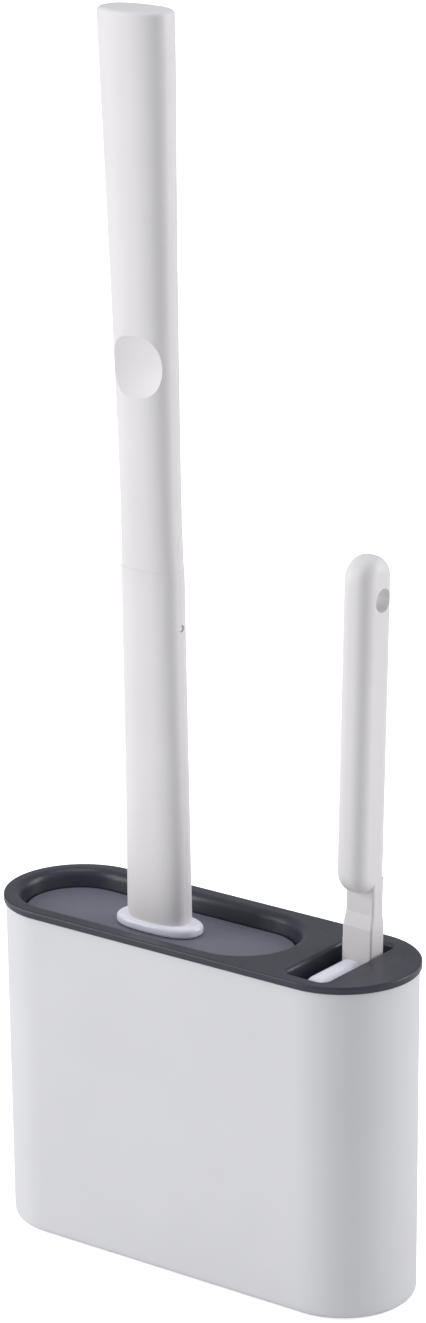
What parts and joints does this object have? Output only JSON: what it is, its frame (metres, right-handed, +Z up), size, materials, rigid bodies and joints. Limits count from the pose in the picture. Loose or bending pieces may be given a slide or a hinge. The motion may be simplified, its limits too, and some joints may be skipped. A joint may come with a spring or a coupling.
{
  "type": "toilet brush holder",
  "caption": "Slim oval toilet brush holder with a recessed collar, a tall main brush with a soft paddle head and a small gap brush beside it.",
  "frame": {"origin": "on the floor, under the middle of the case", "axes": "+X along the case towards the gap brush, -Y the front, +Z up"},
  "size_m": [0.15, 0.0486, 0.394],
  "materials": {
    "case_white": "fine matt white moulding",
    "collar_grey": "dark grey satin moulding",
    "plate_grey": "mid grey satin moulding",
    "inner_grey": "dark grey moulding, inside the case",
    "handle_white": "white satin moulding",
    "gloss_white": "white gloss moulding",
    "soft_head": "grey soft thermoplastic rubber",
    "foot_rubber": "dark rubber",
    "bristle_white": "white nylon tufts"
  },
  "bodies": {
    "holder": {"holder_case": "case_white", "rubber_feet": "foot_rubber", "drip_tray": "inner_grey"},
    "collar": {"top_collar": "collar_grey", "brush_pocket": "inner_grey"},
    "main_brush": {"cover_plate": "plate_grey", "brush_neck": "gloss_white", "main_shaft": "handle_white", "main_grip": "handle_white", "brush_head": "soft_head"},
    "small_brush": {"small_handle": "handle_white", "small_head": "gloss_white", "small_bristles": "bristle_white"}
  },
  "joints": [
    {"name": "collar_lift", "type": "slide", "parent": "holder", "child": "collar", "axis": [0, 0, 1], "range_m": [0, 0.11]},
    {"name": "main_brush_lift", "type": "slide", "parent": "collar", "child": "main_brush", "axis": [0, 0, 1], "range_m": [0, 0.11]},
    {"name": "small_brush_lift", "type": "slide", "parent": "collar", "child": "small_brush", "axis": [0, 0, 1], "range_m": [0, 0.065]}
  ]
}
